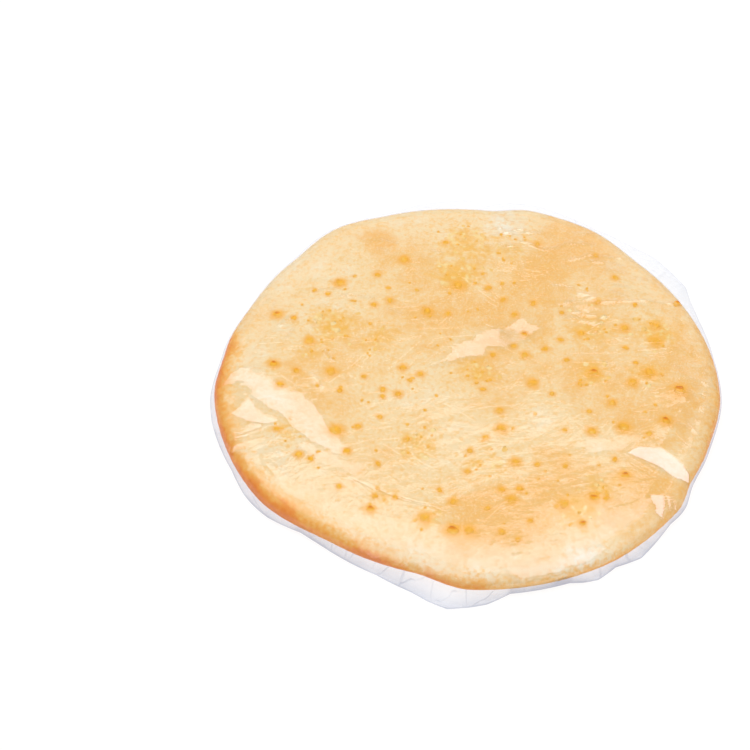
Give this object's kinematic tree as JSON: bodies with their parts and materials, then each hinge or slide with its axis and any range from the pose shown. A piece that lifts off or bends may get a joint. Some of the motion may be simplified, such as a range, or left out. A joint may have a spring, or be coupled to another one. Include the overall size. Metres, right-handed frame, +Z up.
{
  "type": "cheese stuffed flatbread",
  "caption": "Round baked flatbread stuffed with cheese, sealed in a tight clear film bag with a crumpled skirt of loose film round its lower edge.",
  "frame": {"origin": "middle of the object's box seen from above, on the surface that it lies on", "axes": "+Z up through the bread, browned side up; +X to the right and +Y away as the picture shows it"},
  "size_m": [0.2648, 0.2808, 0.0172],
  "materials": {
    "crust": "pale baked crust, golden to brown at the side, with browned cheese spots",
    "cheese": "baked cheese that broke through the crust, cream to browned",
    "film": "thin clear glossy wrapping film, creased"
  },
  "bodies": {
    "root": {"wrapped_flatbread": "crust"}
  },
  "joints": []
}
